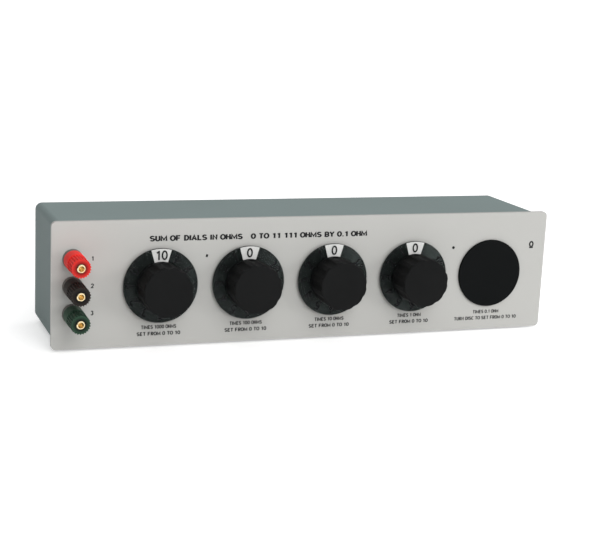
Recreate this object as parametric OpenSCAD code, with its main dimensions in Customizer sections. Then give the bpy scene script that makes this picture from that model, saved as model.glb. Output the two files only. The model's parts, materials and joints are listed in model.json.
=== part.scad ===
// Five-decade resistance box: a drawn metal case behind an overhanging front panel,
// with four windowed decade dials, one flat disc dial and three binding posts.
// Millimetres. +X right, +Y to the rear, +Z up. The origin is on the table,
// at the middle of the box's outline.

/* [Front panel] */
// Height of the front panel
panel_h = 88.9; // [84:0.1:120]
// Thickness of the front panel
panel_t = 3.2; // [2.6:0.1:5]
// Radius of the panel's corners
panel_corner_r = 3.2; // [1:0.1:8]
// How far the panel stands out past the case at its left and right
lip_side = 2.95; // [1:0.05:6]
// How far the panel stands out past the case above and below
lip_edge = 1.7; // [0.8:0.1:4]
// From the panel's left edge to the axis of the binding posts
post_margin = 14.3; // [12:0.1:24]
// From the binding posts to the first dial
post_to_dial = 60.6; // [48:0.1:80]
// Pitch of the dials
dial_pitch = 63.5; // [58:0.1:80]
// From the last dial to the panel's right edge
end_margin = 45.75; // [42:0.05:90]
// How far the row of dials lies below the panel's middle
axis_drop = 1.2; // [0:0.1:4]
// How far the middle binding post lies below the panel's middle
post_drop = 0.3; // [0:0.1:4]

/* [Case] */
// Depth of the case behind the panel
case_depth = 84.2; // [70:0.1:140]
// Wall of the case
case_wall = 1.6; // [1:0.1:2.4]
// Outer radius of the case's edges
case_edge_r = 4.8; // [4:0.1:10]
// Radius of the pillars that hold the case to the panel
pillar_r = 4; // [3.4:0.1:5]
// From the panel's left and right edges to the pillars' axes
pillar_side_inset = 26; // [25:0.5:30]
// From the panel's upper and lower edges to the pillars' axes
pillar_edge_inset = 14.4; // [14:0.1:16]
// Depth of the pillars' seats in the panel
pillar_seat = 1.6; // [0.8:0.1:2]
// Radius of the pillars' ends in those seats
pillar_spigot_r = 3; // [2.4:0.1:3.3]
// Radius of the case screws
case_screw_r = 2; // [1.5:0.1:2.5]
// Length of the case screws under the head
case_screw_len = 12; // [8:0.5:20]
// Radius of the case screws' heads
case_head_r = 3.8; // [3.2:0.1:5]
// Height of the case screws' heads
case_head_h = 2.4; // [1.5:0.1:4]
// Length of the cross recess in those heads
recess_len = 4; // [2:0.1:5]
// Width of the cross recess in those heads
recess_w = 0.8; // [0.5:0.1:1.2]

/* [Feet] */
// Gap between the table and the panel's lower edge
ground_gap = 1.6; // [0.8:0.1:8]
// Radius of a foot where it meets the case
foot_r = 8; // [6:0.1:12]
// How much narrower a foot is on the table
foot_taper = 1.2; // [0:0.1:2]
// Radius of a foot's stem
foot_stem_r = 2.4; // [1.5:0.1:3]
// Radius of the bead that holds the stem inside the case
foot_bead_r = 3.4; // [3.2:0.1:4.5]
// Height of that bead
foot_bead_h = 1.8; // [1:0.1:3]
// From the case's sides to the feet
foot_side_inset = 30; // [24:0.5:60]
// From the panel and from the case's back to the feet
foot_end_inset = 18; // [14:0.5:28]

/* [Dials] */
// Stand-off between the panel and a dial plate
plate_standoff = 2.1; // [1.6:0.1:6]
// Radius of the boss that carries a dial plate
plate_boss_r = 15; // [13.5:0.1:20]
// Radius of a dial plate
plate_r = 26.3; // [23:0.1:27]
// Thickness of a dial plate
plate_t = 1.2; // [0.9:0.1:2]
// Angle of the white window
window_angle = 32; // [20:1:40]
// Width of plate left outside the window
window_margin = 0.3; // [0.3:0.1:2]
// Radial length of the window
window_len = 9.2; // [6:0.1:9.6]
// Depth of the window's inlay
window_depth = 0.5; // [0.3:0.1:0.7]
// Thickness of a clear dial skirt
skirt_t = 1; // [0.8:0.1:2]
// Radius of a clear dial skirt
skirt_r = 26.5; // [23:0.1:28]
// Edge rounding of the skirt
skirt_edge = 0.4; // [0.2:0.1:0.6]
// Radius of the flat disc dial
disc_r = 25.4; // [20:0.1:28]
// Thickness of the flat disc dial
disc_t = 1.7; // [1.5:0.1:4]
// Edge chamfer of the flat disc dial
disc_edge = 0.4; // [0.2:0.1:0.7]
// Radius of the hub behind the flat disc dial
disc_hub_r = 4.4; // [4.2:0.1:4.5]

/* [Knobs] */
// Height of a knob in front of its skirt
knob_h = 21.5; // [16:0.1:30]
// Radius of a knob's grip
knob_r = 17.7; // [15:0.1:21]
// Radius of a knob where it meets its skirt
knob_base_r = 17.3; // [14.5:0.1:20]
// Height of the sloping band at a knob's base
knob_base_h = 5; // [2:0.1:7]
// Shoulder radius of a knob
knob_shoulder = 1.6; // [0.8:0.1:5.5]
// Number of flutes round a knob
knob_flutes = 12; // [6:1:20]
// Radius of a flute
flute_r = 6; // [4:0.1:9]
// Depth of a flute in the grip
flute_depth = 1; // [0.4:0.1:1.8]
// Radius of the boss that carries the skirt
knob_spigot_r = 8; // [6:0.1:12]
// Wall left at the end of a knob's bore
knob_front_wall = 5.5; // [3:0.1:9]

/* [Shafts and switches] */
// Radius of a switch shaft
shaft_r = 3.175; // [2.8:0.005:3.4]
// Distance from a shaft's axis to its flat
shaft_flat = 2.4; // [1.8:0.1:2.6]
// Radius of the bushing in the panel
bushing_r = 4.7; // [4.5:0.1:5.5]
// Radius of the switch's mounting plate
mount_r = 24; // [23.6:0.1:26]
// Thickness of the switch's mounting plate
mount_t = 2.6; // [1.8:0.1:4]
// Radius of the index housing
index_r = 15; // [13.5:0.1:16]
// Length of the index housing
index_len = 8.5; // [7:0.1:12]
// Spacing of the mounting plate and the wafer
wafer_gap = 17.5; // [16.2:0.1:24]
// Radius of a ceramic wafer
wafer_r = 23.8; // [23.4:0.1:24.2]
// Thickness of a ceramic wafer
wafer_t = 3; // [2:0.1:4]
// Radius of the circle of tie screws
tie_circle_r = 20.4; // [19.6:0.1:20.6]
// Radius of a tie screw
tie_r = 1.5; // [1.2:0.1:1.7]
// Radius of a spacer on a tie screw
spacer_r = 2.8; // [2.4:0.1:3]
// Height of a tie screw's head
tie_head_h = 2; // [1.2:0.1:3]
// Radius of the circle of contacts
contact_circle_r = 14.6; // [13:0.1:15]
// Radius of a contact rivet
contact_r = 1.2; // [0.8:0.1:1.4]
// How far a contact stands out of the wafer
contact_proud = 0.4; // [0.2:0.1:0.8]
// Width of a contact's solder tag
tag_w = 2.4; // [1.6:0.1:3]
// Thickness of a contact's solder tag
tag_t = 0.6; // [0.4:0.1:1]
// Clearance between the resistors and the edge of the wafer
resistor_gap = 0.5; // [0.3:0.1:1]
// Radius of the rotor on a switch shaft
rotor_r = 9.5; // [7:0.1:11]
// Thickness of the rotor
rotor_t = 3.4; // [2:0.1:5]
// Width of the wiper blade
wiper_w = 4; // [2.4:0.1:5]
// Thickness of the wiper blade
wiper_t = 0.5; // [0.3:0.1:0.8]
// How far the wiper reaches past the contacts
wiper_past = 1.6; // [0.4:0.1:2]
// How far a shaft stands out behind its wafer
shaft_tail = 2.6; // [1:0.1:5]
// Half spacing of the screws that hold a switch to the panel
switch_screw_x = 9.5; // [9:0.1:10.5]
// Radius of those screws
switch_screw_r = 1.5; // [1.2:0.1:1.7]
// Radius of their countersunk heads
switch_head_r = 2.8; // [2.4:0.1:3]
// How far those screws reach behind the panel
switch_screw_reach = 6; // [4:0.1:7]

/* [Resistors] */
// Radius of a resistor's body
resistor_r = 1.6; // [1:0.1:1.7]
// Length of a resistor's body
resistor_len = 8; // [6:0.1:9]
// Radius of a resistor's lead
lead_r = 0.35; // [0.25:0.05:0.5]
// Radius of the hookup wire
wire_r = 0.6; // [0.4:0.05:0.8]
// How much thicker the hookup wire is at its bends
wire_bend = 0.15; // [0.1:0.05:0.3]

/* [Binding posts] */
// Pitch of the binding posts
post_pitch = 19.05; // [18:0.05:21]
// How far a post's stud stands out of the panel
post_reach = 31; // [26:0.1:36]
// Radius of a post's base
base_r = 7; // [7:0.1:8.8]
// Thickness of a post's base
base_t = 4.2; // [3:0.1:6]
// Radius of the insulating neck in the panel
neck_r = 4.6; // [4:0.1:5.5]
// Radius of a post's stud
stud_r = 2.85; // [2.6:0.05:3.2]
// Radius of the socket in the stud
socket_r = 2; // [1.9:0.05:2.2]
// Depth of the socket
socket_depth = 18; // [12:0.5:19]
// Radius of the wire hole across the stud
wire_hole_r = 1.1; // [0.6:0.1:1.3]
// Radius of the stud's rear thread
stud_tail_r = 2.4; // [2:0.1:2.5]
// How far the stud reaches behind its nut
stud_past_nut = 3; // [1:0.1:6]
// Radius of a cap's smooth skirt
cap_skirt_r = 6.9; // [6.8:0.1:8.6]
// Radius of a cap's ribbed grip
cap_grip_r = 6.7; // [6.2:0.1:6.7]
// Length of the ribbed grip
cap_grip_len = 14; // [8:0.1:16]
// Number of grooves round the grip
cap_grooves = 22; // [12:1:26]
// Radius of a groove
groove_r = 0.7; // [0.3:0.05:0.7]
// Chamfer at a cap's front
cap_edge = 0.2; // [0.1:0.1:1]
// Chamfer at a stud's end
tip_edge = 0.4; // [0.1:0.1:0.5]
// How far the stud's end stands out of its cap
tip_proud = 0.8; // [0.3:0.1:3]
// Wall between a cap's insert and its socket
insert_wall = 1.35; // [1:0.05:1.6]
// Length of the threaded insert in a cap
insert_len = 13; // [8:0.1:14]
// From the insert to the cap's front
insert_recess = 4; // [2:0.1:6]
// Radius of the insulating washer behind the panel
washer_r = 7.5; // [6.5:0.1:8.6]
// Thickness of that washer
washer_t = 2.5; // [1.5:0.1:4]
// Thickness of a post's solder lug
lug_t = 0.8; // [0.5:0.1:1.2]
// Length of a post's solder lug past its stud
lug_len = 14; // [10:0.1:18]
// Width of a post's solder lug
lug_w = 4; // [3:0.1:5]
// Corner radius of a post's nut
nut_r = 4.8; // [4.2:0.1:5.5]
// Thickness of a post's nut
nut_t = 2.6; // [2:0.1:4]

/* [Fits] */
// Clearance all round a fixed fit
fit_clear = 0.05; // [0.02:0.01:0.1]
// Clearance all round a turning fit
run_clear = 0.05; // [0.03:0.01:0.09]
// Gap between faces that pass each other
pass_gap = 0.3; // [0.2:0.05:0.5]

/* [Hidden] */
$fn = 64;
decades = 5;
window_dials = decades - 1;
post_names = ["red", "black", "green"];
post_colours = ["#c8242c", "#18181a", "#1c4a33"];

// Outline of the box and where its panel stands
panel_w = post_margin + post_to_dial + (decades - 1) * dial_pitch + end_margin;
case_w = panel_w - 2 * lip_side;
case_h = panel_h - 2 * lip_edge;
back_z = -(panel_t + case_depth);
dial_front = plate_standoff + plate_t + pass_gap + skirt_t;
front_reach = max(dial_front + knob_h, post_reach);
back_reach = panel_t + case_depth + case_head_h;
panel_y = (front_reach - back_reach) / 2;
panel_mid_z = ground_gap + panel_h / 2;
overcut = 1;

// Places on the panel, seen from the front: x to the right, y up, z out of its face
post_x = post_margin - panel_w / 2;
pillar_x = panel_w / 2 - pillar_side_inset;
pillar_y = panel_h / 2 - pillar_edge_inset;
function dial_x(k) = post_x + post_to_dial + (k - 1) * dial_pitch;
function post_y(i) = -post_drop + (1 - i) * post_pitch;

// Levels along a dial's axis, measured out of the panel's face
plate_face = plate_standoff + plate_t;
skirt_back = plate_face + pass_gap;
shaft_front = dial_front + knob_h - knob_front_wall - pass_gap;
disc_back = pass_gap;
disc_bore_end = disc_back + disc_t / 2;
disc_hub_end = pass_gap - panel_t;
mount_back = -(panel_t + mount_t);
index_back = mount_back - index_len;
wafer_front = mount_back - wafer_gap;
wafer_back = wafer_front - wafer_t;
wiper_back = wafer_front + contact_proud + pass_gap;
shaft_back = wafer_back - shaft_tail;
shaft_bore_r = shaft_r + run_clear;

// The ring of contacts: eleven taps and the common, 30 degrees apart
step_angle = 30;
first_tap_angle = 165;
taps = 11;
rest_steps = [10, 0, 0, 0, 0];
function tap_angle(n) = first_tap_angle - n * step_angle;
common_angle = first_tap_angle + step_angle;
tag_back = wafer_back - tag_t;
string_r = wafer_r + resistor_gap + resistor_r;
lead_circle_r = string_r / cos(step_angle / 2);
tag_reach = lead_circle_r + tag_w / 3;
lead_z = tag_back - lead_r - fit_clear;
lead_stop = wire_r + lead_r;

// Levels along a binding post
cap_back = base_t + pass_gap;
cap_front = post_reach - tip_proud;
cap_travel = 5;
insert_front = cap_front - insert_recess;
insert_bore_r = stud_r + run_clear;
insert_r = insert_bore_r + insert_wall;
cap_bore_r = insert_r + run_clear;
tip_bore_r = stud_r + pass_gap;
wire_hole_z = base_t + wire_hole_r + 2 * pass_gap;
lug_front = -(panel_t + washer_t);
nut_front = lug_front - lug_t;
nut_back = nut_front - nut_t;

module at_panel() {
  translate([0, panel_y, panel_mid_z]) rotate([90, 0, 0]) children();
}

module at_dial(k) {
  at_panel() translate([dial_x(k), -axis_drop, 0]) children();
}

module at_post(i) {
  at_panel() translate([post_x, post_y(i), 0]) children();
}

module at_corners(x, y) {
  for (sx = [-1, 1], sy = [-1, 1]) translate([sx * x, sy * y, 0]) children();
}

// A round bar from one level to another along z
module bar(r, from, to) {
  translate([0, 0, min(from, to)]) cylinder(r = r, h = abs(to - from));
}

// A round bar with a hole right through it
module tube(r, bore, from, to) {
  difference() {
    bar(r, from, to);
    bar(bore, min(from, to) - overcut, max(from, to) + overcut);
  }
}

// A bar with a flat, for a shaft's end or the bore that takes it
module flatted_bar(r, flat, from, to) {
  intersection() {
    bar(r, from, to);
    translate([-r, -r, min(from, to)]) cube([2 * r, r + flat, abs(to - from)]);
  }
}

// A countersunk screw whose head is flush with the level named top
module flush_screw(top, reach, clear) {
  head_h = switch_head_r - switch_screw_r;
  bar(switch_screw_r + clear, top, reach);
  translate([0, 0, top - head_h])
    cylinder(r1 = switch_screw_r + clear, r2 = switch_head_r + clear, h = head_h);
}

// The two screws of one switch, and the holes for them
module switch_screw_pair(k, clear) {
  top = k <= window_dials ? plate_face : 0;
  reach = -(panel_t + switch_screw_reach + clear);
  for (s = [-1, 1]) translate([s * switch_screw_x, 0, 0]) flush_screw(top, reach, clear);
}

// A box with rounded sides and back, flat at z = 0 and open to nothing
module tub(w, h, d, r) {
  x = w / 2 - r;
  y = h / 2 - r;
  translate([-w / 2, -y, r - d]) cube([w, 2 * y, d - r]);
  translate([-x, -h / 2, r - d]) cube([2 * x, h, d - r]);
  translate([-x, -y, -d]) cube([2 * x, 2 * y, d]);
  at_corners(x, y) bar(r, r - d, 0);
  for (s = [-1, 1]) {
    translate([-x, s * y, r - d]) rotate([0, 90, 0]) cylinder(r = r, h = 2 * x);
    translate([s * x, y, r - d]) rotate([90, 0, 0]) cylinder(r = r, h = 2 * y);
  }
  at_corners(x, y) translate([0, 0, r - d]) sphere(r = r);
}

module rounded_plate(w, h, t, r) {
  translate([-w / 2, r - h / 2, -t]) cube([w, h - 2 * r, t]);
  translate([r - w / 2, -h / 2, -t]) cube([w - 2 * r, h, t]);
  at_corners(w / 2 - r, h / 2 - r) bar(r, -t, 0);
}

module front_panel() {
  color("#c3c1bc") at_panel() difference() {
    rounded_plate(panel_w, panel_h, panel_t, panel_corner_r);
    at_corners(pillar_x, pillar_y)
      bar(pillar_spigot_r + fit_clear, -panel_t - overcut, pillar_seat - panel_t);
    for (k = [1:decades]) translate([dial_x(k), -axis_drop, 0]) {
      bar(bushing_r + fit_clear, -panel_t - overcut, overcut);
      switch_screw_pair(k, fit_clear);
    }
    for (i = [0:2]) translate([post_x, post_y(i), 0])
      bar(neck_r + fit_clear, -panel_t - overcut, overcut);
  }
}

// The four places of the feet, on the case's underside
module at_feet() {
  y_front = panel_y + panel_t + foot_end_inset;
  y_back = panel_y + panel_t + case_depth - foot_end_inset;
  for (sx = [-1, 1], y = [y_front, y_back])
    translate([sx * (case_w / 2 - foot_side_inset), y, 0]) children();
}

module case_shell() {
  inner_r = case_edge_r - case_wall;
  color("#7f8d8c") difference() {
    at_panel() translate([0, 0, -panel_t]) difference() {
      tub(case_w, case_h, case_depth, case_edge_r);
      tub(case_w - 2 * case_wall, case_h - 2 * case_wall, case_depth - case_wall, inner_r);
      at_corners(pillar_x, pillar_y)
        bar(case_screw_r + fit_clear, -case_depth - overcut, overcut - case_depth + case_wall);
    }
    at_feet() bar(foot_stem_r + fit_clear, ground_gap, ground_gap + lip_edge + case_wall + overcut);
  }
}

module panel_pillars() {
  inner_back = back_z + case_wall;
  color("#b9bcbd") at_panel() at_corners(pillar_x, pillar_y) difference() {
    union() {
      bar(pillar_r, inner_back, -panel_t);
      bar(pillar_spigot_r, -panel_t - overcut, pillar_seat - panel_t);
    }
    bar(case_screw_r + fit_clear, inner_back - overcut, back_z + case_screw_len + overcut);
  }
}

module case_screws() {
  color("#a8abad") at_panel() at_corners(pillar_x, pillar_y) {
    bar(case_screw_r, back_z - overcut / 2, back_z + case_screw_len);
    difference() {
      bar(case_head_r, back_z - case_head_h, back_z);
      for (a = [0, 90]) rotate([0, 0, a])
        translate([-recess_len / 2, -recess_w / 2, back_z - case_head_h - overcut])
          cube([recess_len, recess_w, case_head_h / 2 + overcut]);
    }
  }
}

module rubber_feet() {
  top = ground_gap + lip_edge;
  inside = top + case_wall + fit_clear;
  color("#222325") at_feet() rotate_extrude() polygon([
    [0, 0],
    [foot_r - foot_taper, 0],
    [foot_r, top],
    [foot_stem_r, top],
    [foot_stem_r, inside],
    [foot_bead_r, inside],
    [foot_stem_r, inside + foot_bead_h],
    [0, inside + foot_bead_h]
  ]);
}

// The sector of a dial plate that shows white behind the number at the top
module window_sector(from, to, clear) {
  outer = plate_r - window_margin + clear;
  inner = outer - window_len - 2 * clear;
  half = window_angle / 2;
  apex = -clear / sin(half);
  reach = 2 * plate_r;
  intersection() {
    tube(outer, inner, from, to);
    translate([0, 0, min(from, to)]) linear_extrude(abs(to - from)) polygon([
      [0, apex],
      [reach * sin(half), apex + reach * cos(half)],
      [-reach * sin(half), apex + reach * cos(half)]
    ]);
  }
}

module dial_plate(k) {
  color("#131314") at_dial(k) difference() {
    union() {
      bar(plate_boss_r, 0, plate_standoff);
      bar(plate_r, plate_standoff, plate_face);
    }
    bar(shaft_r + pass_gap, -overcut, plate_face + overcut);
    switch_screw_pair(k, fit_clear);
    window_sector(plate_face - window_depth, plate_face + overcut, fit_clear);
  }
}

module window_inlays() {
  color("#f2f2ee") for (k = [1:window_dials])
    at_dial(k) window_sector(plate_face - window_depth, plate_face, 0);
}

module knob(k) {
  color("#161617") at_dial(k) difference() {
    union() {
      translate([0, 0, dial_front]) rotate_extrude() knob_profile();
      bar(knob_spigot_r, skirt_back, dial_front);
    }
    for (n = [0:knob_flutes - 1]) rotate([0, 0, n * 360 / knob_flutes])
      translate([knob_r + flute_r - flute_depth, 0, 0])
        bar(flute_r, dial_front + knob_base_h / 2, dial_front + knob_h + overcut);
    rotate([0, 0, -rest_steps[k - 1] * step_angle])
      flatted_bar(shaft_bore_r, shaft_flat + fit_clear, skirt_back - overcut, shaft_front + pass_gap);
  }
}

// Half section of a knob: sloping base, straight grip, round shoulder and flat face
module knob_profile() {
  shoulder_x = knob_r - knob_shoulder;
  shoulder_y = knob_h - knob_shoulder;
  polygon([
    [0, 0],
    [knob_base_r, 0],
    [knob_r, knob_base_h],
    [knob_r, shoulder_y],
    [shoulder_x, shoulder_y],
    [shoulder_x, knob_h],
    [0, knob_h]
  ]);
  translate([shoulder_x, shoulder_y]) circle(r = knob_shoulder);
}

module dial_skirt(k) {
  color("#9aa0a2", 0.35) at_dial(k) rotate_extrude() polygon([
    [knob_spigot_r + fit_clear, skirt_back],
    [skirt_r, skirt_back],
    [skirt_r, dial_front - skirt_edge],
    [skirt_r - skirt_edge, dial_front],
    [knob_spigot_r + fit_clear, dial_front]
  ]);
}

module disc_dial_5() {
  front = disc_back + disc_t;
  color("#121213") at_dial(decades) difference() {
    rotate_extrude() polygon([
      [0, disc_hub_end],
      [disc_hub_r, disc_hub_end],
      [disc_hub_r, disc_back],
      [disc_r, disc_back],
      [disc_r, front - disc_edge],
      [disc_r - disc_edge, front],
      [0, front]
    ]);
    flatted_bar(shaft_bore_r, shaft_flat + fit_clear, disc_hub_end - overcut, disc_bore_end);
  }
}

module switch_housing(k) {
  color("#8f9294") at_dial(k) difference() {
    union() {
      bar(mount_r, mount_back, -panel_t);
      bar(index_r, index_back, mount_back);
      if (k <= window_dials) bar(bushing_r, -panel_t, 0);
    }
    bar(shaft_bore_r, index_back - overcut, overcut);
    switch_screw_pair(k, fit_clear);
    at_tie_screws() bar(tie_r + fit_clear, mount_back - overcut, overcut - panel_t);
  }
}

module at_tie_screws() {
  for (s = [-1, 1]) translate([0, s * tie_circle_r, 0]) children();
}

module at_contacts() {
  for (n = [-1:taps - 1]) rotate([0, 0, tap_angle(n)]) children();
}

module switch_wafers() {
  color("#d9d6cc") for (k = [1:decades]) at_dial(k) difference() {
    bar(wafer_r, wafer_back, wafer_front);
    bar(shaft_r + pass_gap, wafer_back - overcut, wafer_front + overcut);
    at_tie_screws() bar(tie_r + fit_clear, wafer_back - overcut, wafer_front + overcut);
    at_contacts() translate([contact_circle_r, 0, 0])
      bar(contact_r + fit_clear, wafer_back - overcut, wafer_front + overcut);
  }
}

module wafer_spacers() {
  color("#c9a24a") for (k = [1:decades]) at_dial(k) at_tie_screws()
    tube(spacer_r, tie_r + fit_clear, wafer_front, mount_back);
}

module tie_screws() {
  color("#b0b3b5") for (k = [1:decades]) at_dial(k) at_tie_screws() {
    bar(tie_r, wafer_back, -panel_t - fit_clear);
    bar(spacer_r, wafer_back - tie_head_h, wafer_back);
  }
}

module contact_tags() {
  tag_start = contact_circle_r - tag_w / 2;
  color("#cbb994") for (k = [1:decades]) at_dial(k) at_contacts() {
    translate([contact_circle_r, 0, 0]) bar(contact_r, wafer_back, wafer_front + contact_proud);
    translate([tag_start, -tag_w / 2, tag_back]) cube([tag_reach - tag_start, tag_w, tag_t]);
  }
}

module switch_screws() {
  color("#b0b3b5") for (k = [1:decades]) at_dial(k) switch_screw_pair(k, 0);
}

// The shaft with the rotor and its wiper, turned to the tap it rests on
module switch_rotor(k) {
  front = k <= window_dials ? shaft_front : disc_bore_end - pass_gap;
  flat_end = k <= window_dials ? plate_face : disc_hub_end - pass_gap;
  rotor_back = wiper_back + wiper_t;
  wiper_reach = contact_circle_r + wiper_past;
  at_dial(k) rotate([0, 0, -rest_steps[k - 1] * step_angle]) {
    color("#a9acad") difference() {
      bar(shaft_r, shaft_back, front);
      translate([-shaft_r, shaft_flat, flat_end]) cube([2 * shaft_r, shaft_r, front - flat_end + overcut]);
    }
    color("#4a2f22") tube(rotor_r, shaft_r + fit_clear, rotor_back, rotor_back + rotor_t);
    color("#c9a24a") rotate([0, 0, first_tap_angle])
      translate([shaft_r + pass_gap, -wiper_w / 2, wiper_back])
        cube([wiper_reach - shaft_r - pass_gap, wiper_w, wiper_t]);
  }
}

// Ten resistors in a row round the wafer, from tag to tag
module resistor_string(k) {
  half_chord = lead_circle_r * sin(step_angle / 2);
  color("#7d5a3c") at_dial(k) for (n = [0:taps - 2])
    rotate([0, 0, tap_angle(n + 0.5)]) translate([string_r, 0, lead_z]) rotate([90, 0, 0]) {
      bar(resistor_r, -resistor_len / 2, resistor_len / 2);
      bar(lead_r, lead_stop - half_chord, half_chord - lead_stop);
    }
}

module post_base(i) {
  color(post_colours[i]) at_post(i) difference() {
    rotate_extrude() polygon([
      [0, fit_clear - panel_t],
      [neck_r, fit_clear - panel_t],
      [neck_r, 0],
      [base_r, 0],
      [base_r, base_t / 2],
      [cap_skirt_r, base_t],
      [0, base_t]
    ]);
    bar(stud_r + fit_clear, -panel_t - overcut, base_t + overcut);
  }
}

module post_stud(i) {
  color("#d1a53c") at_post(i) difference() {
    union() {
      bar(stud_r, lug_front + washer_t / 2, post_reach - tip_edge);
      translate([0, 0, post_reach - tip_edge])
        cylinder(r1 = stud_r, r2 = stud_r - tip_edge, h = tip_edge);
      bar(stud_tail_r, nut_back - stud_past_nut, lug_front + washer_t / 2);
    }
    bar(socket_r, post_reach - socket_depth, post_reach + overcut);
    translate([-2 * stud_r, 0, wire_hole_z]) rotate([0, 90, 0]) cylinder(r = wire_hole_r, h = 4 * stud_r);
  }
}

module cap_insert(i) {
  color("#b98f34") at_post(i) tube(insert_r, insert_bore_r, insert_front - insert_len, insert_front);
}

module post_cap(i) {
  grip_back = cap_front - cap_grip_len;
  edge = cap_skirt_r - cap_grip_r;
  color(post_colours[i]) at_post(i) difference() {
    rotate_extrude() polygon([
      [cap_bore_r, cap_back],
      [cap_skirt_r, cap_back],
      [cap_skirt_r, grip_back - edge],
      [cap_grip_r, grip_back],
      [cap_grip_r, cap_front - cap_edge],
      [cap_grip_r - cap_edge, cap_front],
      [tip_bore_r, cap_front],
      [tip_bore_r, insert_front],
      [cap_bore_r, insert_front]
    ]);
    for (n = [0:cap_grooves - 1]) rotate([0, 0, n * 360 / cap_grooves])
      translate([cap_grip_r, 0, 0]) bar(groove_r, grip_back + groove_r, cap_front + overcut);
  }
}

module post_washers() {
  color("#e7e3d8") for (i = [0:2]) at_post(i)
    tube(washer_r, stud_r + fit_clear, lug_front, -panel_t);
}

module post_lugs() {
  color("#c4b48c") for (i = [0:2]) at_post(i) difference() {
    union() {
      bar(nut_r, nut_front, lug_front);
      translate([0, -lug_w / 2, nut_front]) cube([lug_len, lug_w, lug_t]);
    }
    bar(stud_tail_r + fit_clear, nut_front - overcut, lug_front + overcut);
  }
}

module post_nuts() {
  color("#c9a24a") for (i = [0:2]) at_post(i) difference() {
    translate([0, 0, nut_back]) cylinder(r = nut_r, h = nut_t, $fn = 6);
    bar(stud_tail_r + fit_clear, nut_back - overcut, nut_front + overcut);
  }
}

// A round wire through a list of points, with ball bends
module wire(points) {
  for (n = [0:len(points) - 2]) {
    run = points[n + 1] - points[n];
    tilt = acos(run.z / norm(run));
    translate(points[n]) rotate([0, tilt, atan2(run.y, run.x)]) cylinder(r = wire_r, h = norm(run));
    if (n > 0) translate(points[n]) sphere(r = wire_r + wire_bend);
  }
}

// A wire's place on a tag of dial k, and the same place further back
function on_tag(k, angle, z) =
  [dial_x(k) + lead_circle_r * cos(angle), lead_circle_r * sin(angle) - axis_drop, z];
function on_lug(i, z) = [post_x + lug_len - lug_w / 2, post_y(i), z];

module hookup_wires() {
  run_z = tag_back - 4 * resistor_r;
  over_y = tag_reach + 2 * resistor_r;
  link_x = (dial_pitch - 2 * tag_reach) / 3;
  return_y = -over_y - axis_drop;
  ground_z = nut_back - nut_t;
  color("#8c2f2b") at_panel() {
    wire([
      on_lug(0, nut_front),
      on_lug(0, run_z),
      on_tag(1, common_angle, run_z),
      on_tag(1, common_angle, tag_back)
    ]);
    for (k = [1:decades - 1]) wire([
      on_tag(k, first_tap_angle, tag_back),
      on_tag(k, first_tap_angle, run_z),
      [dial_x(k) - tag_reach, over_y, run_z],
      [dial_x(k + 1) - tag_reach - link_x, over_y, run_z],
      on_tag(k + 1, common_angle, run_z),
      on_tag(k + 1, common_angle, tag_back)
    ]);
    wire([
      on_tag(decades, first_tap_angle, tag_back),
      on_tag(decades, first_tap_angle, 2 * run_z - tag_back),
      [dial_x(decades) - tag_reach, return_y, 2 * run_z - tag_back],
      [dial_x(1) - tag_reach, return_y, 2 * run_z - tag_back],
      on_lug(1, 2 * run_z - tag_back),
      on_lug(1, nut_front)
    ]);
    wire([
      on_lug(2, nut_front),
      on_lug(2, ground_z),
      [-pillar_x, pillar_r - pillar_y, ground_z]
    ]);
  }
}

front_panel();
case_shell();
panel_pillars();
case_screws();
rubber_feet();
window_inlays();
switch_wafers();
wafer_spacers();
tie_screws();
contact_tags();
switch_screws();
post_washers();
post_lugs();
post_nuts();
hookup_wires();
disc_dial_5();
for (k = [1:window_dials]) {
  dial_plate(k);
  knob(k);
  dial_skirt(k);
}
for (k = [1:decades]) {
  switch_housing(k);
  resistor_string(k);
  switch_rotor(k);
}
for (i = [0:2]) {
  post_base(i);
  post_stud(i);
  cap_insert(i);
  post_cap(i);
}
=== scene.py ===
import json
import math

import bmesh
import bpy
from mathutils import Matrix, Vector


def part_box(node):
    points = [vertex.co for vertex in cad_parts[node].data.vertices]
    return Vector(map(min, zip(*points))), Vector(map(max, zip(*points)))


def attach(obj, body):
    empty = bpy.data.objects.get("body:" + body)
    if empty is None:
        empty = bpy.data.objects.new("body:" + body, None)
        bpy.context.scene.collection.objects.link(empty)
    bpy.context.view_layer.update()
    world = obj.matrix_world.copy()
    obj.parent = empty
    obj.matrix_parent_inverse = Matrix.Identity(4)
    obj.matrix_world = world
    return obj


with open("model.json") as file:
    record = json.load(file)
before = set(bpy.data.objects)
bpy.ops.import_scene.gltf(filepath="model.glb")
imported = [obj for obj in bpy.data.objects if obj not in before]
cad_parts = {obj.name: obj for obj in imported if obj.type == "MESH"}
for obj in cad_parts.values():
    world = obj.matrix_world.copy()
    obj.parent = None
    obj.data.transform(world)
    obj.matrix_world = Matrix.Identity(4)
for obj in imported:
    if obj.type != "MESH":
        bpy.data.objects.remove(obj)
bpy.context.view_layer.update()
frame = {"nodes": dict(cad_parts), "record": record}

# Units and places, read from the frame
MM = 0.001
nodes = frame["nodes"]
slot_of = {part["node"]: part["material_slot"] for part in frame["record"]["subparts"]}
panel_low, panel_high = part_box("front_panel")
panel_face = panel_low.y
panel_middle = (panel_low + panel_high) / 2
POST_COLOURS = ("red", "black", "green")
DIALS = (1, 2, 3, 4, 5)
WINDOW_DIALS = DIALS[:4]

# Camera: angles in degrees, its place from the panel's middle, and lens and sensor in mm
CAMERA_AZIMUTH = -20.39
CAMERA_ELEVATION = 12.84
CAMERA_ROLL = 2.67
CAMERA_DISTANCE = 1005.9 * MM
CAMERA_SIDEWAYS = -8.8 * MM
CAMERA_UPWARD = 0.7 * MM
CAMERA_LENS = 84.09
SENSOR_WIDTH = 36.0

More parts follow.
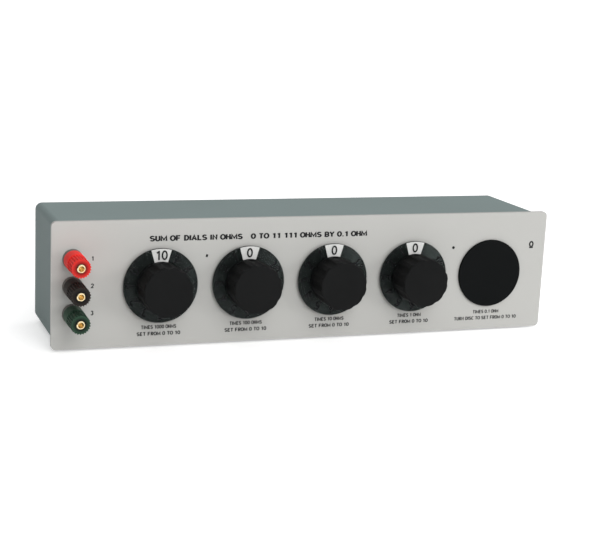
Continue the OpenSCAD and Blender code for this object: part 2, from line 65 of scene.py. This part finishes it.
# Pen lettering, in shares of the letters' height; the mitre limit is a cosine
SIGN_WIDTH = 0.62
SIGN_GAP = 0.11
DIGIT_STROKE = 0.17
LABEL_STROKE = 0.23
HEADING_STROKE = 0.26
MITRE_LIMIT = 0.5
SAME_POINT = 1e-6

# Ink: its thickness, and how far each stroke of a sign is raised over the one before
INK_THICKNESS = 0.04 * MM
INK_STEP = 0.004 * MM
DOT_SEGMENTS = 24

# Dial numbers: eleven round each clear skirt, a step of degrees apart
NUMBERS = range(11)
NUMBER_STEP = 30
NUMBER_HEIGHT = 6.5 * MM
NUMBER_RADIUS = 21.5 * MM
SKIRT_THICKNESS = 1.0 * MM
REST_NUMBER = {1: 10, 2: 0, 3: 0, 4: 0}

# Printed marks on the panel, seen from the front: x and height from the panel's middle
POST_LABEL_X = -159.4 * MM
POST_LABEL_HEIGHT = 3.0 * MM
LABEL_HEIGHT = 2.5 * MM
LABEL_ROWS = (-31.2 * MM, -36.0 * MM)
MULTIPLIERS = (
    "TIMES 1000 OHMS", "TIMES 100 OHMS", "TIMES 10 OHMS", "TIMES 1 OHM", "TIMES 0.1 OHM")
MULTIPLIER_WIDTHS = (25.0 * MM, 24.0 * MM, 22.5 * MM, 19.0 * MM, 21.5 * MM)
SPANS = ("SET FROM 0 TO 10",) * 4 + ("TURN DISC TO SET FROM 0 TO 10",)
SPAN_WIDTHS = (31.0 * MM,) * 4 + (52.0 * MM,)
HEADING = "SUM OF DIALS IN OHMS   0 TO 11 111 OHMS BY 0.1 OHM"
HEADING_ENDS = (-120.0 * MM, 40.5 * MM)
HEADING_LEVEL = 31.4 * MM
HEADING_HEIGHT = 3.6 * MM
UNIT_PLACE = (176.0 * MM, 19.5 * MM)
UNIT_HEIGHT = 5.0 * MM
THOUSANDS_PLACE = (-79.1 * MM, 21.4 * MM)
THOUSANDS_HEIGHT = 6.5 * MM
DECIMAL_PLACE = (110.8 * MM, 18.9 * MM)
DECIMAL_WIDTH = 2.2 * MM


def middle(node):
    """The middle of a node's box."""
    low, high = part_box(node)
    return (low + high) / 2


# Node groups that several finishes share

RANGE_LABELS = ("From Min", "From Max", "To Min", "To Max")
FULL_RANGE = (0.0, 1.0)
GRAIN_DETAIL = 3.0
CLOUD_DETAIL = 5.0
CLOUD_ROUGHNESS = 0.6
CLOUD_RANGE = (0.3, 0.7)
SPECK_SCALE = 420.0


def add_node(tree, kind, operation=None):
    """A new node, with its operation if it has one."""
    node = tree.nodes.new(kind)
    if operation:
        node.operation = operation
    return node


def map_range(tree, value, source, result):
    """A node that carries a number from one range over to another."""
    node = add_node(tree, "ShaderNodeMapRange")
    for label, limit in zip(RANGE_LABELS, source + result):
        node.inputs[label].default_value = limit
    tree.links.new(value, node.inputs["Value"])
    return node


def node_group(name, inputs, outputs):
    """An empty shader group with named number inputs and outputs."""
    group = bpy.data.node_groups.new(name, "ShaderNodeTree")
    for label in inputs:
        group.interface.new_socket(label, in_out="INPUT", socket_type="NodeSocketFloat")
    for label in outputs:
        group.interface.new_socket(label, in_out="OUTPUT", socket_type="NodeSocketFloat")
    return group, add_node(group, "NodeGroupInput"), add_node(group, "NodeGroupOutput")


def grain_group():
    """Fine grain for a bump, and broad cloudy patches, both fixed to the object."""
    group, start, end = node_group(
        "surface_grain", ("Grain Scale", "Cloud Scale"), ("Grain", "Clouds"))
    place = add_node(group, "ShaderNodeTexCoord")
    grain = add_node(group, "ShaderNodeTexNoise")
    grain.inputs["Detail"].default_value = GRAIN_DETAIL
    clouds = add_node(group, "ShaderNodeTexNoise")
    clouds.inputs["Detail"].default_value = CLOUD_DETAIL
    clouds.inputs["Roughness"].default_value = CLOUD_ROUGHNESS
    patches = map_range(group, clouds.outputs["Fac"], CLOUD_RANGE, FULL_RANGE)
    join = group.links.new
    join(place.outputs["Object"], grain.inputs["Vector"])
    join(place.outputs["Object"], clouds.inputs["Vector"])
    join(start.outputs["Grain Scale"], grain.inputs["Scale"])
    join(start.outputs["Cloud Scale"], clouds.inputs["Scale"])
    join(grain.outputs["Fac"], end.inputs["Grain"])
    join(patches.outputs["Result"], end.inputs["Clouds"])
    return group


def speck_group():
    """Sparse light specks of dust, fixed to the object."""
    group, start, end = node_group("dust_specks", ("Amount",), ("Specks",))
    place = add_node(group, "ShaderNodeTexCoord")
    cells = add_node(group, "ShaderNodeTexVoronoi")
    cells.inputs["Scale"].default_value = SPECK_SCALE
    near = add_node(group, "ShaderNodeMath", "LESS_THAN")
    join = group.links.new
    join(place.outputs["Object"], cells.inputs["Vector"])
    join(cells.outputs["Distance"], near.inputs[0])
    join(start.outputs["Amount"], near.inputs[1])
    join(near.outputs["Value"], end.inputs["Specks"])
    return group


def row_radius_group(name, first, second):
    """How far a point is from the axis of the nearest round piece in a row, in metres.

    The row is given by the middles of two neighbours, and the axes run along Y.
    """
    group, _, end = node_group(name, (), ("Radius",))
    gap = second - first
    along, other = ("x", "z") if abs(gap.x) > abs(gap.z) else ("z", "x")
    pitch = abs(getattr(gap, along))
    cell_edge = getattr(first, along) - pitch / 2
    steps = {
        along: (("SUBTRACT", cell_edge), ("FLOORED_MODULO", pitch), ("SUBTRACT", pitch / 2)),
        other: (("SUBTRACT", getattr(first, other)),),
    }
    place = add_node(group, "ShaderNodeTexCoord")
    parts = add_node(group, "ShaderNodeSeparateXYZ")
    flat = add_node(group, "ShaderNodeCombineXYZ")
    length = add_node(group, "ShaderNodeVectorMath", "LENGTH")
    join = group.links.new
    join(place.outputs["Object"], parts.inputs["Vector"])
    for direction, sums in steps.items():
        value = parts.outputs[direction.upper()]
        for operation, number in sums:
            step = add_node(group, "ShaderNodeMath", operation)
            step.inputs[1].default_value = number
            join(value, step.inputs[0])
            value = step.outputs["Value"]
        join(value, flat.inputs[direction.upper()])
    join(flat.outputs["Vector"], length.inputs[0])
    join(length.outputs["Value"], end.inputs["Radius"])
    return group


GRAIN = grain_group()
SPECKS = speck_group()
DIAL_RADIUS = row_radius_group("dial_radius", middle("dial_plate_1"), middle("dial_plate_2"))
POST_RADIUS = row_radius_group("post_radius", middle("post_base_red"), middle("post_base_black"))


# Finishes

PAINT_GLOSS_SPREAD = 0.05
PAINT_BUMP = 0.25
PLASTIC_GRAIN = 700.0
PLASTIC_CLOUD = 45.0
PLASTIC_VARIATION = 0.12
PLASTIC_GLOSS_SPREAD = 0.06
PLASTIC_BUMP = 0.2
PLASTIC_DEPTH = 0.03 * MM
DUST_COLOUR = (0.1, 0.1, 0.095)
# Radii from a post's axis over which the painted shade round its socket fades out
SOCKET_PAINTED_SHADE_REACH = (3.2 * MM, 6.6 * MM)
METAL_GRAIN = 1500.0
METAL_CLOUD = 160.0
METAL_TARNISH = 0.85
METAL_GLOSS_SPREAD = (-0.06, 0.08)
METAL_BUMP = 0.1
METAL_DEPTH = 0.02 * MM
SKIRT_COLOUR = (0.02, 0.022, 0.022, 1.0)
SKIRT_GRAIN = 500.0
SKIRT_CLOUD = 60.0
SKIRT_ROUGHNESS = (0.05, 0.12)
SKIRT_ALPHA = (0.04, 0.07)
PLATE_DARK = (0.003, 0.0037, 0.0036)
PLATE_LIGHT = (0.0052, 0.0062, 0.006)
PLATE_DUST = 0.02
PLATE_ROUGHNESS = (0.17, 0.25)
PLATE_SHINE = 0.24
PLATE_TINT = (0.8, 1.0, 0.94, 1.0)
TURNING_PITCH = 0.25 * MM
TURNING_SLOPE = 0.3


def shade(colour, factor):
    """A colour made lighter or darker."""
    return tuple(min(1.0, c * factor) for c in colour)


class Finish:
    """A material with its shader and the few node moves that the finishes below share."""

    def __init__(self, name):
        self.material = bpy.data.materials.new(name)
        self.material.use_nodes = True
        self.tree = self.material.node_tree
        self.shader = self.tree.nodes["Principled BSDF"]

    def join(self, source, target):
        self.tree.links.new(source, target)

    def feed(self, source, label):
        """Lets a socket drive one of the shader's inputs."""
        self.join(source, self.shader.inputs[label])

    def set(self, **values):
        """Gives the shader's own sockets their constants."""
        for label, value in values.items():
            title = label.replace("_", " ").title().replace("Ior", "IOR")
            self.shader.inputs[title].default_value = value

    def group(self, tree, **values):
        """A copy of a shared group, with its inputs set."""
        node = add_node(self.tree, "ShaderNodeGroup")
        node.node_tree = tree
        for label, value in values.items():
            node.inputs[label.replace("_", " ").title()].default_value = value
        return node

    def mix(self, factor, first, second):
        """A colour between two others; either may be a socket."""
        node = add_node(self.tree, "ShaderNodeMix")
        node.data_type = "RGBA"
        self.join(factor, node.inputs[0])
        for socket, value in ((node.inputs[6], first), (node.inputs[7], second)):
            if isinstance(value, tuple):
                socket.default_value = (*value, 1.0)
            else:
                self.join(value, socket)
        return node.outputs[2]

    def spread(self, factor, low, high, source=FULL_RANGE):
        """A number that runs from low to high as a mask runs through its own range."""
        return map_range(self.tree, factor, source, (low, high)).outputs["Result"]

    def bump(self, height, strength, distance):
        """Unevenness of the surface, from a height."""
        node = add_node(self.tree, "ShaderNodeBump")
        node.inputs["Strength"].default_value = strength
        node.inputs["Distance"].default_value = distance
        self.join(height, node.inputs["Height"])
        self.feed(node.outputs["Normal"], "Normal")


def paint(name, colour, roughness, shine, grain, cloud, depth, variation):
    """Satin paint: fine orange peel and a slight cloudiness in colour and gloss."""
    finish = Finish(name)
    surface = finish.group(GRAIN, grain_scale=grain, cloud_scale=cloud)
    clouds = surface.outputs["Clouds"]
    colours = finish.mix(clouds, shade(colour, 1 - variation), shade(colour, 1 + variation))
    smoother, rougher = roughness - PAINT_GLOSS_SPREAD, roughness + PAINT_GLOSS_SPREAD
    finish.feed(colours, "Base Color")
    finish.feed(finish.spread(clouds, smoother, rougher), "Roughness")
    finish.set(specular_ior_level=shine)
    finish.bump(surface.outputs["Grain"], PAINT_BUMP, depth)
    return finish.material


def plastic(name, colour, roughness, shine=0.5, dust=0.0, socket=None):
    """Moulded plastic: fine texture, uneven gloss, some dust, and painted shade darkening a
    post's end face towards its socket.
    """
    finish = Finish(name)
    surface = finish.group(GRAIN, grain_scale=PLASTIC_GRAIN, cloud_scale=PLASTIC_CLOUD)
    clouds = surface.outputs["Clouds"]
    darker, lighter = shade(colour, 1 - PLASTIC_VARIATION), shade(colour, 1 + PLASTIC_VARIATION)
    colours = finish.mix(clouds, darker, lighter)
    if dust:
        specks = finish.group(SPECKS, amount=dust).outputs["Specks"]
        colours = finish.mix(specks, colours, DUST_COLOUR)
    # Painted shade: the end face darkens towards the socket, as if shaded in a recess round it
    if socket is not None:
        radius = finish.group(POST_RADIUS).outputs["Radius"]
        outwards = finish.spread(radius, *FULL_RANGE, SOCKET_PAINTED_SHADE_REACH)
        colours = finish.mix(outwards, shade(colour, socket), colours)
    smoother, rougher = roughness - PLASTIC_GLOSS_SPREAD, roughness + PLASTIC_GLOSS_SPREAD
    finish.feed(colours, "Base Color")
    finish.feed(finish.spread(clouds, smoother, rougher), "Roughness")
    finish.set(specular_ior_level=shine)
    finish.bump(surface.outputs["Grain"], PLASTIC_BUMP, PLASTIC_DEPTH)
    return finish.material


def metal(name, colour, roughness):
    """Turned or plated metal with faint cloudy tarnish."""
    finish = Finish(name)
    surface = finish.group(GRAIN, grain_scale=METAL_GRAIN, cloud_scale=METAL_CLOUD)
    clouds = surface.outputs["Clouds"]
    smoother, rougher = (roughness + change for change in METAL_GLOSS_SPREAD)
    finish.feed(finish.mix(clouds, shade(colour, METAL_TARNISH), colour), "Base Color")
    finish.feed(finish.spread(clouds, smoother, rougher), "Roughness")
    finish.set(metallic=1.0)
    finish.bump(surface.outputs["Grain"], METAL_BUMP, METAL_DEPTH)
    return finish.material


def clear_skirt(name):
    """Clear moulded plastic, thin enough to see straight through."""
    finish = Finish(name)
    surface = finish.group(GRAIN, grain_scale=SKIRT_GRAIN, cloud_scale=SKIRT_CLOUD)
    clouds = surface.outputs["Clouds"]
    finish.set(base_color=SKIRT_COLOUR)
    finish.feed(finish.spread(clouds, *SKIRT_ROUGHNESS), "Roughness")
    finish.feed(finish.spread(clouds, *SKIRT_ALPHA), "Alpha")
    return finish.material


def turned_plate(name):
    """Satin black plate with fine turning lines round its axis, and faint dust."""
    finish = Finish(name)
    surface = finish.group(GRAIN, grain_scale=PLASTIC_GRAIN, cloud_scale=PLASTIC_CLOUD)
    clouds = surface.outputs["Clouds"]
    specks = finish.group(SPECKS, amount=PLATE_DUST).outputs["Specks"]
    colours = finish.mix(specks, finish.mix(clouds, PLATE_DARK, PLATE_LIGHT), DUST_COLOUR)
    finish.feed(colours, "Base Color")
    finish.feed(finish.spread(clouds, *PLATE_ROUGHNESS), "Roughness")
    finish.set(specular_ior_level=PLATE_SHINE, specular_tint=PLATE_TINT)
    turns = add_node(finish.tree, "ShaderNodeMath", "MULTIPLY")
    turns.inputs[1].default_value = 2 * math.pi / TURNING_PITCH
    wave = add_node(finish.tree, "ShaderNodeMath", "SINE")
    finish.join(finish.group(DIAL_RADIUS).outputs["Radius"], turns.inputs[0])
    finish.join(turns.outputs["Value"], wave.inputs[0])
    finish.bump(wave.outputs["Value"], 1.0, TURNING_SLOPE * TURNING_PITCH / (2 * math.pi))
    return finish.material


FINISHES = {
    "panel_paint": paint(
        "panel_paint", (0.497, 0.495, 0.474), roughness=0.5, shine=0.3,
        grain=2600.0, cloud=9.0, depth=0.04 * MM, variation=0.015),
    "case_paint": paint(
        "case_paint", (0.235, 0.288, 0.284), roughness=0.6, shine=0.05,
        grain=1300.0, cloud=12.0, depth=0.1 * MM, variation=0.03),
    "plated_steel": metal("plated_steel", (0.62, 0.63, 0.64), 0.3),
    "foot_rubber": plastic("foot_rubber", (0.02, 0.02, 0.021), 0.75, dust=0.08),
    "dial_black": turned_plate("dial_black"),
    "window_white": plastic("window_white", (0.85, 0.85, 0.83), 0.4),
    "switch_metal": metal("switch_metal", (0.5, 0.51, 0.52), 0.42),
    "ceramic": plastic("ceramic", (0.66, 0.64, 0.58), 0.3),
    "brass": metal("brass", (0.7, 0.5, 0.2), 0.34),
    "resistor_body": plastic("resistor_body", (0.2, 0.1, 0.05), 0.4),
    "wire_red": plastic("wire_red", (0.3, 0.03, 0.03), 0.45),
    "knob_black": plastic("knob_black", (0.0034, 0.0037, 0.0038), 0.75, shine=0.15, dust=0.02),
    "clear_plastic": clear_skirt("clear_plastic"),
    "gold_plate": metal("gold_plate", (0.98, 0.81, 0.5), 0.2),
    # Each post's socket factor sets how dark the painted shade at its socket's mouth is
    "post_red": plastic("post_red", (0.84, 0.036, 0.029), 0.55, shine=0.14, socket=0.2),
    "post_black": plastic(
        "post_black", (0.023, 0.0175, 0.0145), 0.55, shine=0.14, dust=0.03, socket=0.05),
    "post_green": plastic(
        "post_green", (0.03, 0.07, 0.043), 0.55, shine=0.14, dust=0.03, socket=0.05),
}
COLLAR_GREY = plastic("collar_grey", (0.16, 0.155, 0.145), 0.6, shine=0.1)
DISC_BLACK = plastic("disc_black", (0.0035, 0.0042, 0.0044), 0.7, shine=0.07, dust=0.02)
OWN_FINISHES = {"disc_dial_5": DISC_BLACK}
OWN_FINISHES.update({f"post_base_{colour}": COLLAR_GREY for colour in POST_COLOURS})
INK = plastic("printed_ink", (0.012, 0.012, 0.013), 0.6, shine=0.2)
NUMBER_INK = plastic("number_ink", (0.008, 0.008, 0.009), 0.5, shine=0.1)


def dress_nodes():
    """Each node of the frame gets its own finish, or else that of its slot."""
    for name, node in nodes.items():
        node.data.materials.clear()
        node.data.materials.append(OWN_FINISHES.get(name, FINISHES[slot_of[name]]))


# Printed marks

def arc(x, y, across, up, start, end, steps=18):
    """Points along part of an ellipse, from one angle to another in degrees."""
    angles = [math.radians(start + (end - start) * n / steps) for n in range(steps + 1)]
    return [(x + across * math.cos(a), y + up * math.sin(a)) for a in angles]


# The pen strokes of each sign, from its lower left corner
SIX = [arc(0.31, 0.31, 0.25, 0.25, 0, 360), arc(0.46, 0.34, 0.4, 0.6, 88, 184)]
BOWL = [(0.1, 0.935)] + arc(0.3, 0.7, 0.23, 0.235, 90, -90) + [(0.1, 0.465)]
LOWER_BOWL = [(0.1, 0.49)] + arc(0.32, 0.2775, 0.24, 0.2125, 90, -90) + [(0.1, 0.065)]
STROKES = {
    "0": [arc(0.31, 0.5, 0.25, 0.44, 0, 360)],
    "1": [[(0.12, 0.75), (0.38, 0.91)], [(0.36, 1.0), (0.36, 0.0)]],
    "2": [arc(0.31, 0.7, 0.24, 0.24, 165, -40) + [(0.08, 0.065), (0.58, 0.065)]],
    "3": [arc(0.29, 0.72, 0.22, 0.22, 150, -90), arc(0.29, 0.28, 0.25, 0.22, 90, -155)],
    "4": [[(0.45, 0.0), (0.45, 0.94), (0.07, 0.27), (0.62, 0.27)]],
    "5": [[(0.55, 0.935), (0.15, 0.935), (0.1, 0.48)], arc(0.3, 0.33, 0.25, 0.27, 145, -140)],
    "6": SIX,
    "7": [[(0.05, 0.935), (0.55, 0.935), (0.24, 0.0)]],
    "8": [arc(0.31, 0.73, 0.2, 0.21, 0, 360), arc(0.31, 0.28, 0.25, 0.22, 0, 360)],
    "9": [[(SIGN_WIDTH - x, 1 - y) for x, y in stroke] for stroke in SIX],
    "A": [[(0.03, 0.0), (0.31, 0.93), (0.59, 0.0)], [(0.14, 0.3), (0.48, 0.3)]],
    "B": [[(0.1, 0.0), (0.1, 1.0)], BOWL, LOWER_BOWL],
    "C": [arc(0.33, 0.5, 0.27, 0.44, 50, 310)],
    "D": [[(0.1, 0.065), (0.1, 0.935)] + arc(0.27, 0.5, 0.29, 0.435, 90, -90) + [(0.1, 0.065)]],
    "E": [[(0.56, 0.935), (0.1, 0.935), (0.1, 0.065), (0.56, 0.065)], [(0.1, 0.5), (0.5, 0.5)]],
    "F": [[(0.56, 0.935), (0.1, 0.935), (0.1, 0.0)], [(0.1, 0.48), (0.5, 0.48)]],
    "H": [[(0.08, 0.0), (0.08, 1.0)], [(0.54, 0.0), (0.54, 1.0)], [(0.08, 0.5), (0.54, 0.5)]],
    "I": [[(0.1, 0.0), (0.1, 1.0)]],
    "L": [[(0.12, 1.0), (0.12, 0.065), (0.56, 0.065)]],
    "M": [[(0.06, 0.0), (0.08, 0.9), (0.4, 0.2), (0.72, 0.9), (0.74, 0.0)]],
    "N": [[(0.08, 0.0), (0.08, 0.9), (0.54, 0.1), (0.54, 1.0)]],
    "O": [arc(0.31, 0.5, 0.29, 0.44, 0, 360)],
    "R": [[(0.1, 0.0), (0.1, 1.0)], BOWL, [(0.3, 0.465), (0.54, 0.0)]],
    "S": [arc(0.31, 0.715, 0.22, 0.22, 25, 270) + arc(0.31, 0.28, 0.24, 0.215, 90, -155)[1:]],
    "T": [[(0.04, 0.935), (0.58, 0.935)], [(0.31, 0.935), (0.31, 0.0)]],
    "U": [[(0.08, 1.0)] + arc(0.31, 0.3, 0.23, 0.235, 180, 360) + [(0.54, 1.0)]],
    "Y": [[(0.04, 1.0), (0.31, 0.47), (0.58, 1.0)], [(0.31, 0.47), (0.31, 0.0)]],
    "Ω": [
        [(0.0, 0.065), (0.2, 0.065)]
        + arc(0.31, 0.58, 0.28, 0.36, 240, -60)
        + [(0.42, 0.065), (0.62, 0.065)]
    ],
    ".": [[(0.1, 0.0), (0.1, 0.17)]],
    ",": [[(0.14, 0.18), (0.06, -0.12)]],
    " ": [],
}
SIGN_WIDTHS = {"1": 0.55, "I": 0.2, "L": 0.57, "M": 0.8, ".": 0.2, ",": 0.2, " ": 0.26}
MOST_STROKES = max(len(strokes) for strokes in STROKES.values())


def stroke_sides(points, half):
    """The two edges of a pen stroke along a line of points, mitred at its bends."""
    path = [Vector(point) for point in points]
    closed = (path[0] - path[-1]).length < SAME_POINT
    if closed:
        path.pop()
    edges = []
    for n, point in enumerate(path):
        before = path[n - 1] if closed or n > 0 else None
        after = path[(n + 1) % len(path)] if closed or n < len(path) - 1 else None
        runs = (before and point - before, after and after - point)
        ways = [run.normalized() for run in runs if run]
        normals = [Vector((-way.y, way.x)) for way in ways]
        mean = sum(normals, Vector((0, 0))).normalized()
        reach = half / max(MITRE_LIMIT, mean.dot(normals[0]))
        edges.append((point + mean * reach, point - mean * reach))
    return edges, closed


def ink_solid(name, shape):
    """Turns flat ink in the XZ plane into a thin solid that faces -Y, with its back at y = 0."""
    raised = bmesh.ops.extrude_face_region(shape, geom=shape.faces[:])["geom"]
    corners = [item for item in raised if isinstance(item, bmesh.types.BMVert)]
    bmesh.ops.translate(shape, verts=corners, vec=(0, -INK_THICKNESS, 0))
    bmesh.ops.recalc_face_normals(shape, faces=shape.faces)
    mesh = bpy.data.meshes.new(name)
    shape.to_mesh(mesh)
    shape.free()
    return mesh


def lettering(name, words, height, stroke, width=None):
    """Words or a number drawn with a pen in the XZ plane, centred, and stretched to any width."""
    widths = [SIGN_WIDTHS.get(sign, SIGN_WIDTH) for sign in words]
    length = sum(widths) + SIGN_GAP * (len(words) - 1)
    across = width / length if width else height
    shape = bmesh.new()
    for place, sign in enumerate(words):
        shift = Vector((sum(widths[:place]) + SIGN_GAP * place - length / 2, -0.5))
        for layer, points in enumerate(STROKES[sign]):
            level = -layer * INK_STEP
            edges, closed = stroke_sides(points, stroke / 2)
            rows = []
            for edge in edges:
                ends = [end + shift for end in edge]
                spots = [(end.x * across, level, end.y * height) for end in ends]
                rows.append([shape.verts.new(spot) for spot in spots])
            following = rows[1:] + rows[:1] if closed else rows[1:]
            for first, second in zip(rows, following):
                shape.faces.new((first[0], first[1], second[1], second[0]))
    return ink_solid(name, shape)


def dot_shape(name, width):
    """A round dot of ink."""
    shape = bmesh.new()
    upright = Matrix.Rotation(math.pi / 2, 4, "X")
    bmesh.ops.create_circle(
        shape, cap_ends=True, segments=DOT_SEGMENTS, radius=width / 2, matrix=upright)
    return ink_solid(name, shape)


def place_print(name, shape, body, place, finish):
    """Moves the ink's mesh to its place and lets it ride on a body."""
    shape.transform(place)
    shape.materials.append(finish)
    piece = bpy.data.objects.new(name, shape)
    bpy.context.scene.collection.objects.link(piece)
    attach(piece, body)


def on_panel(x, z):
    """A place on the panel's front face, from its middle."""
    return Matrix.Translation((panel_middle.x + x, panel_face, panel_middle.z + z))


def dial_numbers():
    """The numbers on the back of each clear skirt, counting up against the clock."""
    for dial in WINDOW_DIALS:
        skirt = f"dial_skirt_{dial}"
        axis = middle(skirt)
        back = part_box(skirt)[0].y + SKIRT_THICKNESS + INK_THICKNESS + MOST_STROKES * INK_STEP
        centre = Matrix.Translation((axis.x, back, axis.z))
        outward = Matrix.Translation((0, 0, NUMBER_RADIUS))
        for number in NUMBERS:
            turn = math.radians((number - REST_NUMBER[dial]) * NUMBER_STEP)
            name = f"dial_{dial}_number_{number}"
            spin = Matrix.Rotation(-turn, 4, "Y")
            shape = lettering(name, str(number), NUMBER_HEIGHT, DIGIT_STROKE)
            place_print(name, shape, f"dial_{dial}", centre @ spin @ outward, NUMBER_INK)


def panel_marks():
    """Plain numbers, a unit sign, separators and lines of words on the panel."""
    marks = []
    for number, colour in enumerate(POST_COLOURS, start=1):
        label = lettering(f"post_number_{number}", str(number), POST_LABEL_HEIGHT, LABEL_STROKE)
        marks.append((label, POST_LABEL_X, middle(f"post_base_{colour}").z - panel_middle.z))
    heading_width = HEADING_ENDS[1] - HEADING_ENDS[0]
    heading = lettering("heading", HEADING, HEADING_HEIGHT, HEADING_STROKE, heading_width)
    marks.append((heading, sum(HEADING_ENDS) / 2, HEADING_LEVEL))
    for n, dial in enumerate(DIALS):
        x = middle(f"switch_housing_{dial}").x
        rows = (
            ("multiplier", MULTIPLIERS[n], MULTIPLIER_WIDTHS[n]),
            ("span", SPANS[n], SPAN_WIDTHS[n]),
        )
        for (row, words, width), level in zip(rows, LABEL_ROWS):
            line = lettering(f"dial_{dial}_{row}", words, LABEL_HEIGHT, LABEL_STROKE, width)
            marks.append((line, x, level))
    unit = lettering("unit_sign", "Ω", UNIT_HEIGHT, LABEL_STROKE)
    thousands = lettering("thousands_mark", ",", THOUSANDS_HEIGHT, LABEL_STROKE)
    decimal = dot_shape("decimal_mark", DECIMAL_WIDTH)
    marks += [(unit, *UNIT_PLACE), (thousands, *THOUSANDS_PLACE), (decimal, *DECIMAL_PLACE)]
    for shape, x, z in marks:
        place_print(shape.name, shape, "enclosure", on_panel(x, z), INK)


# Floor, light and camera

WHITE = (1.0, 1.0, 1.0, 1.0)
FLOOR_SIZE = 60.0
FLOOR_COLOUR = (0.9, 0.9, 0.9, 1.0)
FLOOR_ROUGHNESS = 0.9
FLOOR_FADE = (0.5, 1.6)
FLOOR_GLOW = (0.45, 1.0)
SKY_BRIGHTEST = (0.45, -0.2, 0.87)
SKY_RANGE = (-0.3, 1.0)
SKY_GLOW = (0.0, 1.0)
LAMPS = {
    "key_lamp": {"place": (0.3, -2.6, 1.9), "size": 1.8, "power": 28.0},
    "front_lamp": {"place": (-0.2, -1.8, 0.9), "size": 1.2, "power": 5.0},
    "side_lamp": {"place": (3.4, -3.4, 0.65), "size": 1.2, "power": 32.0},
}


def floor():
    """A pale floor that keeps the object's shadow and runs out to plain white."""
    shape = bmesh.new()
    bmesh.ops.create_grid(shape, x_segments=1, y_segments=1, size=FLOOR_SIZE / 2)
    mesh = bpy.data.meshes.new("floor")
    shape.to_mesh(mesh)
    shape.free()
    ground = bpy.data.objects.new("floor", mesh)
    bpy.context.scene.collection.objects.link(ground)
    finish = Finish("floor_white")
    finish.set(base_color=FLOOR_COLOUR, roughness=FLOOR_ROUGHNESS, emission_color=WHITE)
    place = add_node(finish.tree, "ShaderNodeTexCoord")
    distance = add_node(finish.tree, "ShaderNodeVectorMath", "LENGTH")
    fade = map_range(finish.tree, distance.outputs["Value"], FLOOR_FADE, FLOOR_GLOW)
    fade.interpolation_type = "SMOOTHSTEP"
    rays = add_node(finish.tree, "ShaderNodeLightPath")
    seen = rays.outputs["Is Camera Ray"]
    for label in ("Is Glossy Ray", "Is Transmission Ray"):
        either = add_node(finish.tree, "ShaderNodeMath", "MAXIMUM")
        finish.join(seen, either.inputs[0])
        finish.join(rays.outputs[label], either.inputs[1])
        seen = either.outputs["Value"]
    glow = add_node(finish.tree, "ShaderNodeMath", "MULTIPLY")
    finish.join(place.outputs["Object"], distance.inputs[0])
    finish.join(fade.outputs["Result"], glow.inputs[0])
    finish.join(seen, glow.inputs[1])
    finish.feed(glow.outputs["Value"], "Emission Strength")
    mesh.materials.append(finish.material)


def area_light(name, place, size, power):
    """A soft round lamp that points at the object."""
    data = bpy.data.lights.new(name, "AREA")
    data.shape = "DISK"
    data.size = size
    data.energy = power
    lamp = bpy.data.objects.new(name, data)
    bpy.context.scene.collection.objects.link(lamp)
    lamp.location = place
    lamp.rotation_euler = (panel_middle - Vector(place)).to_track_quat("-Z", "Y").to_euler()


def studio():
    """Surroundings brightest above and to the right, white to the camera, and three lamps."""
    world = bpy.data.worlds.new("studio")
    bpy.context.scene.world = world
    world.use_nodes = True
    tree = world.node_tree
    sky = tree.nodes["Background"]
    sky.inputs["Color"].default_value = WHITE
    way = add_node(tree, "ShaderNodeTexCoord")
    towards = add_node(tree, "ShaderNodeVectorMath", "DOT_PRODUCT")
    towards.inputs[1].default_value = SKY_BRIGHTEST
    glow = map_range(tree, towards.outputs["Value"], SKY_RANGE, SKY_GLOW)
    rays = add_node(tree, "ShaderNodeLightPath")
    seen = add_node(tree, "ShaderNodeMath", "MAXIMUM")
    tree.links.new(way.outputs["Generated"], towards.inputs[0])
    tree.links.new(glow.outputs["Result"], seen.inputs[0])
    tree.links.new(rays.outputs["Is Camera Ray"], seen.inputs[1])
    tree.links.new(seen.outputs["Value"], sky.inputs["Strength"])
    for name, lamp in LAMPS.items():
        area_light(name, **lamp)


def camera():
    """The camera of the photograph, placed from the middle of the panel's face."""
    data = bpy.data.cameras.new("camera")
    data.sensor_fit = "HORIZONTAL"
    data.sensor_width = SENSOR_WIDTH
    data.lens = CAMERA_LENS
    eye = bpy.data.objects.new("camera", data)
    bpy.context.scene.collection.objects.link(eye)
    turn = Matrix.Rotation(math.radians(CAMERA_AZIMUTH), 4, "Z")
    tilt = Matrix.Rotation(math.radians(90 - CAMERA_ELEVATION), 4, "X")
    roll = Matrix.Rotation(math.radians(CAMERA_ROLL), 4, "Z")
    offset = Matrix.Translation((CAMERA_SIDEWAYS, CAMERA_UPWARD, CAMERA_DISTANCE))
    target = Matrix.Translation((panel_middle.x, panel_face, panel_middle.z))
    eye.matrix_world = target @ turn @ tilt @ roll @ offset
    bpy.context.scene.camera = eye


dress_nodes()
dial_numbers()
panel_marks()
floor()
studio()
camera()
bpy.context.scene.view_settings.view_transform = "Standard"
